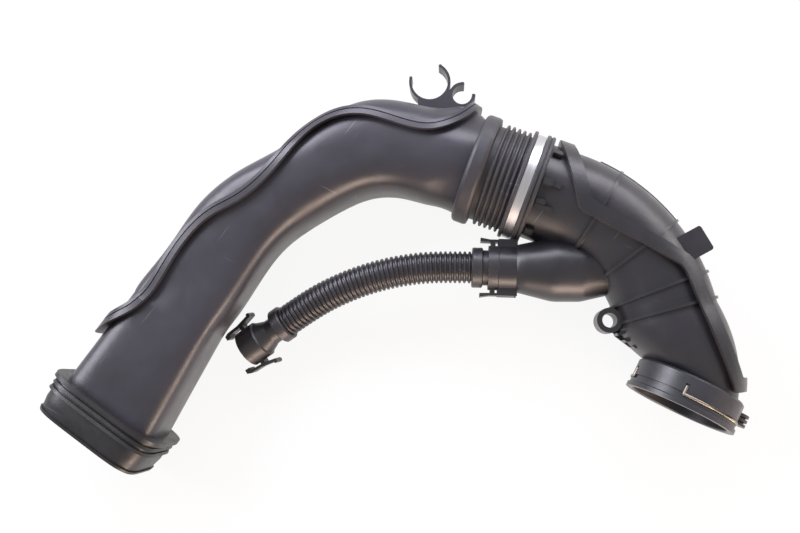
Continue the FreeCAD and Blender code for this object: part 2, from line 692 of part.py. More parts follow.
def elbow_shells():
    """Elbow body and elbow cover."""
    outside = pipe(ELBOW_RADIUS)
    inside = pipe(ELBOW_RADIUS - ELBOW_WALL)
    reach = pipe(ELBOW_RADIUS + ELBOW_LIP_REACH)
    zone = outer_zone()
    ribs = [elbow_rib(s, RIB_HEIGHT) for s in (46, 86, 118, 134)]
    lug, hole, _ = fixing_lug()
    spigot, spigot_bore = elbow_spigot()
    hollow = [inside, branch_bore(), hole, spigot_bore]
    shell = outside.multiFuse(ribs)
    body_lip = reach.common(outer_zone(-ELBOW_BODY_LIP).cut(zone))
    cover_lip = reach.common(zone.cut(outer_zone(ELBOW_COVER_LIP)))
    extras = [body_lip, branch_outside(), branch_catches(), lug, spigot] + location_tabs()
    body = cut_all(shell.cut(zone).multiFuse(extras), hollow + [zone])
    cover = shell.common(zone).multiFuse([cover_lip, crown_fin(), holder_tab().common(zone)])
    return body, cut_all(cover, [inside])


# Outlet socket

def wire_chords():
    """Angles of the inset runs of the wire, measured from Y to Z."""
    return (58.0, -115.0)


def wire_clip():
    """Sprung wire round the socket with two inset runs and two bent tails."""
    x = -WIRE_SETBACK
    seat = WIRE_SEAT + WIRE_RADIUS
    inset = SOCKET_BORE + WIRE_INSET + WIRE_RADIUS
    half = math.degrees(math.acos(inset / seat))
    stops = [105.0]
    for middle in wire_chords():
        stops += [middle + half, middle - half]
    stops.append(-185.0)
    pieces = []
    for k in range(0, len(stops), 2):
        face = Part.Face(Part.Wire(Part.makeCircle(WIRE_RADIUS, V(x, seat, 0), V(0, 0, 1))))
        face.rotate(V(0, 0, 0), V(1, 0, 0), stops[k])
        pieces.append(face.revolve(V(0, 0, 0), V(-1, 0, 0), stops[k] - stops[k + 1]))

    def spot(angle):
        a = math.radians(angle)
        return V(x, seat * math.cos(a), seat * math.sin(a))
    for k in range(1, len(stops) - 1, 2):
        a, b = spot(stops[k]), spot(stops[k + 1])
        pieces.append(Part.makeCylinder(WIRE_RADIUS, a.distanceToPoint(b), a, b - a))
    for angle in stops:
        pieces.append(Part.makeSphere(WIRE_RADIUS, spot(angle)))
    for angle in (stops[0], stops[-1]):
        pieces.append(Part.makeCylinder(WIRE_RADIUS, WIRE_TAIL, spot(angle), V(-1, 0, 0)))
    return placed(pieces[0].multiFuse(pieces[1:]), MOUTH, MOUTH_HEADING)


def outlet_socket():
    """Coupling cup with wire groove, slots and seal groove."""
    back = -SOCKET_LENGTH
    w0, w1 = -WIRE_SETBACK - 1.35, -WIRE_SETBACK + 1.35
    s0, s1 = -SEAL_SETBACK - SEAL_GROOVE_WIDTH, -SEAL_SETBACK
    groove = SOCKET_BORE + SEAL_GROOVE_DEPTH
    air = ELBOW_RADIUS - NECK_REDUCTION - ELBOW_WALL
    cup = turned(((back, air), (back, SOCKET_RADIUS - 1.5), (back + 1.5, SOCKET_RADIUS),
                  (w0, SOCKET_RADIUS), (w0, WIRE_SEAT), (w1, WIRE_SEAT), (w1, SOCKET_RADIUS),
                  (-RIM_WIDTH - 0.8, SOCKET_RADIUS), (-RIM_WIDTH, RIM_RADIUS), (0, RIM_RADIUS),
                  (0, SOCKET_BORE + 0.8), (-0.8, SOCKET_BORE), (s1, SOCKET_BORE), (s1, groove),
                  (s0, groove), (s0, SOCKET_BORE), (-SOCKET_DEPTH, SOCKET_BORE),
                  (-SOCKET_DEPTH, air)))
    tails = (105.0, -185.0)
    for angle in tails:
        slot = block(w0 - WIRE_TAIL - 0.4, w1, WIRE_SEAT, RIM_RADIUS + 4, -1.35, 1.35)
        slot.rotate(V(0, 0, 0), V(1, 0, 0), angle)
        cup = cup.cut(slot)
    for angle in wire_chords():
        slot = block(w0, w1, SOCKET_BORE - 1.1, RIM_RADIUS + 4, -16, 16)
        slot.rotate(V(0, 0, 0), V(1, 0, 0), angle)
        cup = cup.cut(slot)
    plates = []
    for k in range(3):
        fin = Part.makeCylinder(7.5, 2.0, V(-17 + k * 3.4, SOCKET_RADIUS, 0), V(1, 0, 0))
        plates.append(fin)
    plates.append(block(-17, -8.2, SOCKET_RADIUS - 2, SOCKET_RADIUS + 5, -3, 3))
    hollow = Part.makeCylinder(groove + 0.4, SOCKET_LENGTH, V(back, 0, 0), V(1, 0, 0))
    knob = cut_all(fuse_all(plates), [hollow])
    return placed(cup.fuse(knob), MOUTH, MOUTH_HEADING)


def outlet_seal():
    """Rubber ring filling the groove inside the socket."""
    s0, s1 = -SEAL_SETBACK - SEAL_GROOVE_WIDTH, -SEAL_SETBACK
    groove = SOCKET_BORE + SEAL_GROOVE_DEPTH
    face = SOCKET_BORE + 0.15
    return placed(turned(((s0, groove), (s1, groove), (s1, face + 0.7), (s1 - 1.2, face),
                          (s0 + 1.2, face), (s0, face + 0.7))), MOUTH, MOUTH_HEADING)


# Breather hose and its connectors

def plug_faces():
    """Distances of the plug's steps back from the branch face."""
    flange = -PLUG_FLANGE_LENGTH
    neck = flange - PLUG_NECK_LENGTH
    return flange, neck, neck - PLUG_COLLAR_LENGTH


def branch_connector():
    """Plug with a collar for the hose and two latch arms."""
    flange, neck, collar = plug_faces()
    pin = BRANCH_BORE - PLUG_CLEARANCE
    g0 = RING_POSITION - RING_SECTION - 0.4
    g1 = RING_POSITION + RING_SECTION + 0.4
    groove = BRANCH_BORE - 2 * RING_SECTION
    body = turned(((collar, PLUG_BORE), (collar, PLUG_COLLAR_RADIUS - 0.8),
                   (collar + 0.8, PLUG_COLLAR_RADIUS), (neck - 0.8, PLUG_COLLAR_RADIUS),
                   (neck, PLUG_COLLAR_RADIUS - 0.8), (neck, PLUG_NECK_RADIUS),
                   (flange, PLUG_NECK_RADIUS), (flange, PLUG_FLANGE_RADIUS), (0, PLUG_FLANGE_RADIUS),
                   (0, pin), (g0, pin), (g0, groove), (g1, groove), (g1, pin),
                   (PLUG_PIN_LENGTH - 1.5, pin), (PLUG_PIN_LENGTH, pin - 1.5),
                   (PLUG_PIN_LENGTH, PLUG_BORE)))
    arms = []
    for side in (1, -1):
        outline = ((collar + 6, 19.0), (collar + 6, 21.8), (-6, 20.6), (12.4, 20.6), (12.4, 16.8),
                   (10.0, 17.2), (10.0, 18.8), (-6, 18.8))
        arms.append(plate([(x, side * y) for x, y in outline], -4.5, 4.5))
        arms.append(block(-5.5, -2.0, *sorted((side * (PLUG_FLANGE_RADIUS - 1.5), side * 19.4)), -4.5, 4.5))
    return placed(body.multiFuse(arms), V(BRANCH_X, BRANCH_Y, 0), BRANCH_HEADING)


def branch_seal():
    """Rubber ring on the plug."""
    return placed(ring(RING_POSITION, BRANCH_BORE - RING_SECTION, RING_SECTION),
                  V(BRANCH_X, BRANCH_Y, 0), BRANCH_HEADING)


def hose_points(rise):
    """Route of the breather hose from the branch plug, sinking at last by the rise angle."""
    point = V(BRANCH_X, BRANCH_Y, 0) + turn_vector(BRANCH_HEADING, plug_faces()[2])
    points = [point]
    for k in range(HOSE_RUNS):
        t = k / (HOSE_RUNS - 1)
        heading = BRANCH_HEADING + (CONNECTOR_HEADING - BRANCH_HEADING) * t
        slope = math.radians(rise * t)
        run = turn_vector(heading, HOSE_RUN_LENGTH * math.cos(slope))
        point = point - run - V(0, 0, HOSE_RUN_LENGTH * math.sin(slope))
        points.append(point)
    return points


def connector_mouth(rise):
    """Mouth centre of the quick connector on the end of the hose."""
    slope = math.radians(rise)
    back = turn_vector(CONNECTOR_HEADING, CONNECTOR_LENGTH * math.cos(slope))
    return hose_points(rise)[-1] - back - V(0, 0, CONNECTOR_LENGTH * math.sin(slope))


def connector_lie():
    """Rise angle and mouth of the quick connector with its rim just on the floor."""
    low, high = 0.0, 40.0
    for _ in range(40):
        rise = (low + high) / 2
        rim = connector_mouth(rise).z - CONNECTOR_RADIUS * math.cos(math.radians(rise))
        low, high = (rise, high) if rim > FLOOR else (low, rise)
    return rise, connector_mouth(rise)


def quick_connector():
    """Coupling with a barrel, a hose cuff and two rocker arms."""
    end = CONNECTOR_LENGTH
    cuff = end - CONNECTOR_CUFF_LENGTH
    r0, r1 = CONNECTOR_RADIUS, CONNECTOR_NECK_RADIUS
    groove = CONNECTOR_BORE + 0.05 + 2 * CONNECTOR_RING_SECTION
    g0, g1 = 9.0 - CONNECTOR_RING_SECTION - 0.3, 9.0 + CONNECTOR_RING_SECTION + 0.3
    depth = CONNECTOR_BORE_DEPTH
    body = turned(((0, CONNECTOR_BORE + 0.6), (0, r0), (CONNECTOR_BARREL, r0), (CONNECTOR_BARREL + 1, r0 - 1.2),
                   (depth + 7, r1), (cuff, r1), (cuff, CONNECTOR_CUFF_RADIUS - 0.8),
                   (cuff + 0.8, CONNECTOR_CUFF_RADIUS), (end - 0.8, CONNECTOR_CUFF_RADIUS),
                   (end, CONNECTOR_CUFF_RADIUS - 0.8), (end, CONNECTOR_AIRWAY),
                   (depth, CONNECTOR_AIRWAY), (depth, CONNECTOR_BORE), (g1, CONNECTOR_BORE), (g1, groove),
                   (g0, groove), (g0, CONNECTOR_BORE), (0.6, CONNECTOR_BORE)))
    arms = []
    half = ARM_WIDTH / 2
    for side in (1, -1):
        outline = ((-8.5, 13.4), (-8.5, 16.6), (-5.5, 18.0), (4, 18.4), (15, 20.6), (15.6, 22.0), (17.4, 22.0),
                   (18.2, 20.4), (17.4, 18.8), (8, 16.6), (-4.5, 15.6), (-5.0, 13.4))
        arms.append(plate([(x, side * y) for x, y in outline], -half, half))
        arms.append(block(5.0, 8.5, *sorted((side * (r0 - 1.2), side * 17.4)), -half + 1, half - 1))
    rise, mouth = connector_lie()
    return placed(body.multiFuse(arms), mouth, CONNECTOR_HEADING, rise)


def connector_seal():
    """Rubber ring in the quick connector."""
    radius = CONNECTOR_BORE + 0.05 + CONNECTOR_RING_SECTION
    seal = ring(9.0, radius, CONNECTOR_RING_SECTION)
    rise, mouth = connector_lie()
    return placed(seal, mouth, CONNECTOR_HEADING, rise)


def hose_radii(points):
    """Bend radius at each inner point of the hose's route."""
    radii = [0.0]
    for a, b, c in zip(points, points[1:], points[2:]):
        half = (b - a).getAngle(c - b) / 2
        short = min(a.distanceToPoint(b), b.distanceToPoint(c))
        radii.append(0.45 * short / math.tan(half))
    return radii + [0.0]


def breather_hose():
    """Tube along the route."""
    points = hose_points(connector_lie()[0])
    radii = hose_radii(points)
    print("hose bend radii", [round(r, 1) for r in radii], "least", 5 * 2 * HOSE_RADIUS)
    path = rounded_path(points, radii)
    print("hose length", round(path.Length, 1))
    tubes = []
    for radius in (HOSE_RADIUS, HOSE_BORE):
        circle = Part.Wire(Part.makeCircle(radius, points[0], points[1] - points[0]))
        tubes.append(path.makePipeShell([circle], True, False))
    return tubes[0].cut(tubes[1])


def build():
    """All nodes by name, in the working frame of the routes."""
    duct_body, duct_cover, duct_outside = duct_shells()
    elbow_body, elbow_cover = elbow_shells()
    return {
        "duct_body": duct_body,
        "duct_cover": duct_cover,
        "inlet_seal": inlet_seal(duct_outside),
        "bellows": bellows(),
        "band_clamp": band_clamp(),
        "elbow_body": elbow_body,
        "elbow_cover": elbow_cover,
        "outlet_socket": outlet_socket(),
        "wire_clip": wire_clip(),
        "outlet_seal": outlet_seal(),
        "branch_connector": branch_connector(),
        "branch_seal": branch_seal(),
        "breather_hose": breather_hose(),
        "quick_connector": quick_connector(),
        "connector_seal": connector_seal(),
    }


HOSE_NODES = ("breather_hose", "quick_connector", "connector_seal")


def frame_shift(nodes):
    """Move that puts the middle of the rigid part's box over the origin, on the floor."""
    rigid = Part.makeCompound([s for n, s in nodes.items() if n not in HOSE_NODES])
    box = rigid.optimalBoundingBox(False, False)
    return V(-(box.XMin + box.XMax) / 2, -(box.YMin + box.YMax) / 2, -box.ZMin)


def main():
    os.makedirs("parts", exist_ok=True)
    nodes = build()
    shift = frame_shift(nodes)
    print("frame shift", [round(v, 3) for v in shift])
    print("mouth", [round(v, 2) for v in MOUTH + shift], "heading", MOUTH_HEADING)
    print("hose points", [[round(v, 2) for v in p + shift] for p in hose_points(connector_lie()[0])])
    print("connector", round(connector_lie()[0], 3), [round(v, 2) for v in connector_lie()[1] + shift])
    for name, shape in nodes.items():
        shape.translate(shift)
        box = shape.BoundBox
        print(name, shape.isValid(), len(shape.Solids), round(shape.Volume),
              [round(v, 1) for v in (box.XMin, box.XMax, box.YMin, box.YMax, box.ZMin, box.ZMax)])
        shape.exportStep("parts/" + name + ".step")


main()
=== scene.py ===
# %% [markdown]
# # An air intake hose on a white table
# The part is a welded plastic duct, a rubber bellows with a steel band, a welded elbow with a
# coupling cup, and a thin corrugated breather hose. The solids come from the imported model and
# are the fixed frame. This lesson gives each solid a smooth copy with its finish. Only the
# breather hose is made anew, because its solid is a plain tube without corrugations.

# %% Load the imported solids
import math
import bmesh
import bpy
from mathutils import Matrix, Vector


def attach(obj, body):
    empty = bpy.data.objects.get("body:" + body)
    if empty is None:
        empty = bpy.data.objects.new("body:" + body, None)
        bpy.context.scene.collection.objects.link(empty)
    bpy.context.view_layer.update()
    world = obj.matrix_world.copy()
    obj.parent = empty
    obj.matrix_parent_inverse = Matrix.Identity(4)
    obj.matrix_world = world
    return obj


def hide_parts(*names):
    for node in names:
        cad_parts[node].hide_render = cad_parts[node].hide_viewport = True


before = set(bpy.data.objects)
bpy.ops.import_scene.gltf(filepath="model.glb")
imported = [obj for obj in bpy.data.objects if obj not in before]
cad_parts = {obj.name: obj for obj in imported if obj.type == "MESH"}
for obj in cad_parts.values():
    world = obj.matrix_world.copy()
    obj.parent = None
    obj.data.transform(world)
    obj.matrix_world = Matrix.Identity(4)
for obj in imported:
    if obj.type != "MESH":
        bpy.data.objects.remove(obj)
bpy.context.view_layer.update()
print("solids", sorted(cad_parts))

# %% [markdown]
# ## The camera
# The part was photographed from above, a little from its lower edge, so the walls that face the
# lower edge of the picture show. The picture is 800 by 533 pixels, and one pixel is taken as
# 0.74 mm at half the height of the part. The camera stands over one point of the table, its
# foot, and is aimed at the middle of the picture. Its axes are worked out by hand because a
# camera that looks almost straight down has no safe up direction of its own.

# %% Camera over the table
PIXEL = 0.00074
PICTURE = (800, 533)
AIM = Vector((0.0058, -0.0011, 0.0415))
FOOT_PIXEL = (450, 383)
HEIGHT_PIXELS = 860
NEAREST_SEEN = 0.01


def over_picture(u, v, height):
    """Point over one pixel of the picture, at a height in metres over half height."""
    return AIM + Vector(((u - PICTURE[0] / 2) * PIXEL, (PICTURE[1] / 2 - v) * PIXEL, height))


def add_camera(place, aim):
    """Camera at a place, turned to the aim, with Y upwards in its picture."""
    data = bpy.data.cameras.new("camera")
    camera = bpy.data.objects.new("camera", data)
    bpy.context.collection.objects.link(camera)
    back = (place - aim).normalized()
    right = Vector((0, 1, 0)).cross(back).normalized()
    turn = Matrix((right, back.cross(right), back)).transposed()
    camera.matrix_world = Matrix.Translation(place) @ turn.to_4x4()
    data.lens = data.sensor_width * (place - aim).length / (PICTURE[0] * PIXEL)
    data.clip_start = NEAREST_SEEN
    bpy.context.scene.camera = camera
    return camera


camera = add_camera(over_picture(*FOOT_PIXEL, HEIGHT_PIXELS * PIXEL), AIM)
print("lens", round(camera.data.lens, 1), "mm, distance", round((camera.location - AIM).length, 3))

# %% [markdown]
# ## The line of the breather hose
# The hose is a stiff corrugated tube that leaves the branch of the elbow and comes down to the
# table at its free coupling. A NURBS spline with the route's points as its control points gives
# a smooth line. Order 3 and the end points are set after the points are there, because set
# before they would leave straight runs. Blender samples the spline, and the tube follows those
# samples.

# %% Line of the hose
LINE_STEPS = 24
HOSE_ROUTE = ((0.05864, -0.00228, 0.0415), (0.03366, -0.00141, 0.0415),
              (0.00878, -0.00354, 0.04028), (-0.01558, -0.00863, 0.03784),
              (-0.0390, -0.01656, 0.03419), (-0.06112, -0.02716, 0.02934),
              (-0.08158, -0.04019, 0.0233))


def spline_points(route):
    """Points along the smooth NURBS line that the route's points control."""
    data = bpy.data.curves.new("hose_line", "CURVE")
    data.dimensions = "3D"
    data.resolution_u = LINE_STEPS
    spline = data.splines.new("NURBS")
    spline.points.add(len(route) - 1)
    for point, place in zip(spline.points, route):
        point.co = (*place, 1)
    spline.order_u = 3
    spline.use_endpoint_u = True
    line = bpy.data.objects.new("hose_line", data)
    bpy.context.collection.objects.link(line)
    mesh = bpy.data.meshes.new_from_object(line)
    points = [v.co.copy() for v in mesh.vertices]
    bpy.data.objects.remove(line)
    bpy.data.curves.remove(data)
    bpy.data.meshes.remove(mesh)
    return points


hose_line = spline_points(HOSE_ROUTE)
hose_length = sum((b - a).length for a, b in zip(hose_line, hose_line[1:]))
print("hose line", len(hose_line), "points,", round(hose_length * 1000, 1), "mm")

# %% [markdown]
# ## The corrugated tube
# Each corrugation is a low rounded rib. A ring of edges is made for each step of one rib, turned
# to the line, and bridged to the ring before it, so the ribs stand square to the line in the
# bend too. The bore is a second row of rings inside, and both ends are bridged shut. The steps
# of a rib are given as shares of its length and of its height.

# %% Corrugated breather hose
HOSE_CREST = 0.0118
HOSE_ROOT = 0.0101
HOSE_BORE = 0.0090
RIB_COUNT = 43
RIB_STEPS = ((0.0, 0.0), (0.13, 0.0), (0.25, 0.72), (0.36, 1.0), (0.62, 1.0), (0.73, 0.72),
             (0.86, 0.0))
RIB_CREASE_ANGLE = 40
RING_SEGMENTS = 40


def new_piece(name, bm, crease_angle):
    """Object at the origin from a bmesh, smooth except over sharp edges, carried by the body."""
    for face in bm.faces:
        face.smooth = True
    for edge in bm.edges:
        edge.smooth = edge.calc_face_angle(0) < math.radians(crease_angle)
    mesh = bpy.data.meshes.new(name)
    bm.to_mesh(mesh)
    bm.free()
    piece = bpy.data.objects.new(name, mesh)
    bpy.context.collection.objects.link(piece)
    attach(piece, "root")
    return piece


def along_line(points, distance):
    """Place and direction at one distance along a line of points."""
    for a, b in zip(points, points[1:]):
        step = (b - a).length
        if distance <= step or b is points[-1]:
            return a + (b - a).normalized() * distance, (b - a).normalized()
        distance -= step


def ring_of_edges(bm, place, direction, radius):
    """Circle of edges square to a direction."""
    turn = direction.to_track_quat("Z", "Y").to_matrix().to_4x4()
    made = bmesh.ops.create_circle(bm, segments=RING_SEGMENTS, radius=radius,
                                   matrix=Matrix.Translation(place) @ turn)
    return list({edge for vert in made["verts"] for edge in vert.link_edges})


def corrugated_tube(points, length):
    """Tube with ribs outside and a plain bore."""
    bm = bmesh.new()
    stations = []
    for rib in range(RIB_COUNT):
        for part, height in RIB_STEPS:
            stations.append(((rib + part) / RIB_COUNT * length,
                             HOSE_ROOT + (HOSE_CREST - HOSE_ROOT) * height))
    stations.append((length, HOSE_ROOT))
    for k in range(RIB_COUNT, -1, -1):
        stations.append((k / RIB_COUNT * length, HOSE_BORE))
    rings = [ring_of_edges(bm, *along_line(points, at), radius) for at, radius in stations]
    for first, second in zip(rings, rings[1:] + rings[:1]):
        bmesh.ops.bridge_loops(bm, edges=first + second)
    bmesh.ops.recalc_face_normals(bm, faces=bm.faces)
    return bm


breather_hose = new_piece("hose_tube", corrugated_tube(hose_line, hose_length), RIB_CREASE_ANGLE)
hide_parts("breather_hose")
print("hose faces", len(breather_hose.data.polygons))

# %% [markdown]
# ## Smooth shells
# The solids arrive as loose triangles. A copy whose doubles are merged can be shaded smooth and
# keeps its creases where two faces meet at more than a set angle, which is how a moulded shell
# looks. The copy stands for the solid and lies exactly where it lies. The copy of the elbow body
# also gets four small stops beside the bellows lip. Each stop is given by its angle round the
# elbow in degrees, and its length, width and height in metres.

# %% Merged copies of the solids
SHELLS = ("duct_body", "duct_cover", "elbow_body", "elbow_cover", "outlet_socket",
          "branch_connector", "quick_connector", "band_clamp", "wire_clip", "inlet_seal",
          "outlet_seal", "branch_seal", "connector_seal", "bellows")
SHELL_CREASE_ANGLE = 20
MERGE_DISTANCE = 1e-6
SHORTEST_EDGE = 1e-7
BELLOWS_HEADING = math.radians(-21)
ELBOW_START = Vector((0.1073, 0.0544, 0.0415))
ELBOW_RADIUS = 0.036
STOPS = ((51, 0.007, 0.005, 0.0034), (112, 0.007, 0.004, 0.0030), (118, 0.013, 0.004, 0.0022),
         (152, 0.006, 0.007, 0.0030))
STOP_GAP = 0.0012
STOP_ROOT = 0.002
STOP_EDGE = 0.0004


def add_stop(bm, angle, length, width, height):
    """Small moulded block beside the bellows lip, at an angle round the elbow."""
    lie = (Matrix.Translation(ELBOW_START) @ Matrix.Rotation(BELLOWS_HEADING, 4, "Z")
           @ Matrix.Rotation(math.radians(angle - 90), 4, "X"))
    middle = (STOP_GAP + length / 2, 0, ELBOW_RADIUS + (height - STOP_ROOT) / 2)
    size = Matrix.Diagonal((length, width, height + STOP_ROOT, 1))
    made = bmesh.ops.create_cube(bm, matrix=lie @ Matrix.Translation(middle) @ size)
    edges = list({edge for vert in made["verts"] for edge in vert.link_edges})
    bmesh.ops.bevel(bm, geom=edges, offset=STOP_EDGE, segments=2, affect="EDGES")


def merged_copy(node):
    """Smooth copy of one solid, with the stops on the elbow."""
    bm = bmesh.new()
    bm.from_mesh(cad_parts[node].data)
    bmesh.ops.remove_doubles(bm, verts=bm.verts, dist=MERGE_DISTANCE)
    bmesh.ops.dissolve_degenerate(bm, edges=bm.edges, dist=SHORTEST_EDGE)
    if node == "elbow_body":
        for stop in STOPS:
            add_stop(bm, *stop)
    piece = new_piece(node + "_shell", bm, SHELL_CREASE_ANGLE)
    piece.data.materials.clear()
    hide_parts(node)
    return piece


shells = {node: merged_copy(node) for node in SHELLS}
print("shells", {node: len(piece.data.polygons) for node, piece in shells.items()})

# %% [markdown]
# ## Colours and nodes
# Colours are written as sRGB hex values, as a colour picker shows them, and one function turns
# them to the linear values that the shader needs. The others add a node with its settings and
# links, start a material, blend two tones over a pattern, and give a material to the shells.

# %% Colour and node helpers


def linear(colour):
    """Linear RGBA from an sRGB hex value."""
    parts = [int(colour[k:k + 2], 16) / 255 for k in (1, 3, 5)]
    return [c / 12.92 if c <= 0.04045 else ((c + 0.055) / 1.055) ** 2.4 for c in parts] + [1.0]


def add_node(tree, kind, values=None, links=None, **settings):
    """New node with values on its sockets, links into its sockets and its own settings."""
    node = tree.nodes.new(kind)
    for name, value in settings.items():
        setattr(node, name, value)
    for socket, value in (values or {}).items():
        node.inputs[socket].default_value = value
    for socket, source in (links or {}).items():
        tree.links.new(source, node.inputs[socket])
    return node


def blank(name, **sockets):
    """Material with one shader and fixed values on its sockets."""
    material = bpy.data.materials.new(name)
    material.use_nodes = True
    shader = material.node_tree.nodes["Principled BSDF"]
    for socket, value in sockets.items():
        shader.inputs[socket.replace("_", " ")].default_value = value
    return material, material.node_tree, shader


def two_tones(tree, pattern, tones, spread):
    """Colour that goes from the first tone to the second as the pattern crosses the spread."""
    ramp = add_node(tree, "ShaderNodeValToRGB", links={"Fac": pattern})
    for k in (0, 1):
        ramp.color_ramp.elements[k].position = spread[k]
        ramp.color_ramp.elements[k].color = linear(tones[k])
    return ramp.outputs["Color"]


def dress(material, slot, *nodes):
    """Give the shells of these nodes a material. The slot argument is not used."""
    for node in nodes:
        shells[node].data.materials.append(material)


# %% [markdown]
# ## Moulded plastic
# The duct is filled polypropylene and the elbow glass filled polyamide, both coloured black and
# moulded in eroded steel. That gives a satin slate grey with slow patches of tone where the melt
# flowed, an uneven gloss, a pale bloom at grazing angles and a fine grain. A few thin scuffs come
# from handling. The real grain is about 0.2 mm, too fine to show here, so it is drawn at two to
# three times that.

# %% Moulded plastics
PATCH_SPREAD = (0.32, 0.70)
SMEARS_PER_PATCH = 3
SMEAR_SPREAD = (0.3, 0.7)
GRAIN_STRENGTH = 0.22
BLOOM = 0.10
BLOOM_ROUGHNESS = 0.4
BLOOM_TINT = "#f0e2d6"
SCUFF_ANGLES = (-52, 24)
SCUFF_COLOUR = "#5a5960"
SCUFF_LENGTH_MM = 40
SCUFF_FINENESS = 22
SCUFF_SPREAD = (0.77, 0.84)


def thin_scuffs(tree, where, angle):
    """Few thin lines along one direction: 1 on a line, 0 beside it."""
    turned = add_node(tree, "ShaderNodeMapping", {"Rotation": (0, 0, math.radians(angle))},
                      {"Vector": where})
    along = 1000 / SCUFF_LENGTH_MM
    drawn = add_node(tree, "ShaderNodeMapping",
                     {"Scale": (along, along * SCUFF_FINENESS, along)},
                     {"Vector": turned.outputs["Vector"]})
    noise = add_node(tree, "ShaderNodeTexNoise", {"Scale": 1.0, "Detail": 1.0},
                     {"Vector": drawn.outputs["Vector"]})
    lines = add_node(tree, "ShaderNodeMapRange",
                     {"From Min": SCUFF_SPREAD[0], "From Max": SCUFF_SPREAD[1]},
                     {"Value": noise.outputs["Fac"]})
    return lines.outputs["Result"]


def moulded(name, tones, patch_mm, roughness, grain_mm, grain_depth_mm, ior, bloom=BLOOM):
    """Moulded finish: patches of tone, handling scuffs, uneven gloss and an eroded grain."""
    material, tree, shader = blank(name, IOR=ior, Sheen_Weight=bloom,
                                   Sheen_Roughness=BLOOM_ROUGHNESS,
                                   Sheen_Tint=linear(BLOOM_TINT))
    where = add_node(tree, "ShaderNodeTexCoord").outputs["Object"]
    patches = add_node(tree, "ShaderNodeTexNoise",
                       {"Scale": 1000 / patch_mm, "Detail": 4.0, "Roughness": 0.6},
                       {"Vector": where})
    colour = two_tones(tree, patches.outputs["Fac"], tones, PATCH_SPREAD)
    for angle in SCUFF_ANGLES:
        worn = add_node(tree, "ShaderNodeMix", {"B": linear(SCUFF_COLOUR)},
                        {"Factor": thin_scuffs(tree, where, angle), "A": colour},
                        data_type="RGBA")
        colour = worn.outputs["Result"]
    tree.links.new(colour, shader.inputs["Base Color"])
    smears = add_node(tree, "ShaderNodeTexNoise",
                      {"Scale": SMEARS_PER_PATCH * 1000 / patch_mm, "Detail": 5.0,
                       "Distortion": 0.6}, {"Vector": where})
    rough = add_node(tree, "ShaderNodeMapRange",
                     {"From Min": SMEAR_SPREAD[0], "From Max": SMEAR_SPREAD[1],
                      "To Min": roughness[0], "To Max": roughness[1]},
                     {"Value": smears.outputs["Fac"]})
    tree.links.new(rough.outputs["Result"], shader.inputs["Roughness"])
    grain = add_node(tree, "ShaderNodeTexNoise", {"Scale": 1000 / grain_mm, "Detail": 2.0},
                     {"Vector": where})
    bump = add_node(tree, "ShaderNodeBump",
                    {"Strength": GRAIN_STRENGTH, "Distance": grain_depth_mm / 1000},
                    {"Height": grain.outputs["Fac"]})
    tree.links.new(bump.outputs["Normal"], shader.inputs["Normal"])
    return material


duct_plastic = moulded("polypropylene_moulded_black", ("#2b2a30", "#33323a"), patch_mm=60,
                       roughness=(0.30, 0.40), grain_mm=0.6, grain_depth_mm=0.10, ior=1.49)
elbow_plastic = moulded("polyamide_moulded_black", ("#1e1d22", "#25242a"), patch_mm=45,
                        roughness=(0.30, 0.40), grain_mm=0.5, grain_depth_mm=0.10, ior=1.53)
socket_plastic = moulded("polyamide_moulded_slate", ("#27272c", "#303036"), patch_mm=30,
                         roughness=(0.34, 0.44), grain_mm=0.4, grain_depth_mm=0.06, ior=1.53)
connector_plastic = moulded("polyamide_moulded_jet", ("#232226", "#2d2c31"), patch_mm=18,
                            roughness=(0.34, 0.46), grain_mm=0.4, grain_depth_mm=0.05, ior=1.53)
hose_plastic = moulded("polyamide_blown_black", ("#232226", "#2c2b31"), patch_mm=24,
                       roughness=(0.34, 0.46), grain_mm=0.5, grain_depth_mm=0.05, ior=1.52)
dress(duct_plastic, "duct_plastic", "duct_body", "duct_cover")
dress(elbow_plastic, "elbow_plastic", "elbow_body", "elbow_cover")
dress(socket_plastic, "socket_plastic", "outlet_socket")
dress(connector_plastic, "connector_plastic", "branch_connector", "quick_connector")
breather_hose.data.materials.append(hose_plastic)

# %% [markdown]
# ## Moulded rubber
# The bellows and the seals are moulded rubber. The bellows has little gloss and the same bloom
# as the plastic. The seals are darker, a little shinier, and have hardly any bloom. The same
# finish function serves for both.

# %% Rubbers
SEAL_BLOOM = 0.03

bellows_rubber = moulded("rubber_moulded_black", ("#2a292d", "#343238"), patch_mm=26,
                         roughness=(0.44, 0.60), grain_mm=0.7, grain_depth_mm=0.08, ior=1.51)
seal_rubber = moulded("rubber_seal_black", ("#131215", "#1d1c1f"), patch_mm=20,
                      roughness=(0.36, 0.50), grain_mm=0.6, grain_depth_mm=0.06, ior=1.51,
                      bloom=SEAL_BLOOM)
dress(bellows_rubber, "bellows_rubber", "bellows")
dress(seal_rubber, "seal_rubber", "inlet_seal", "outlet_seal", "branch_seal", "connector_seal")

# %% [markdown]
# ## Steel
# The band is cold rolled stainless strip with fine lines along the strip. They run round the
# bellows, so the pattern is turned to its axis and is fine across the strip only. The wire is
# plated spring steel with a duller, warmer grey. On it the pattern is so coarse that it only
# makes slow changes of tone.

# %% Band and wire
STRIP_SPREAD = (0.3, 0.7)
STRIP_SCALE = 30


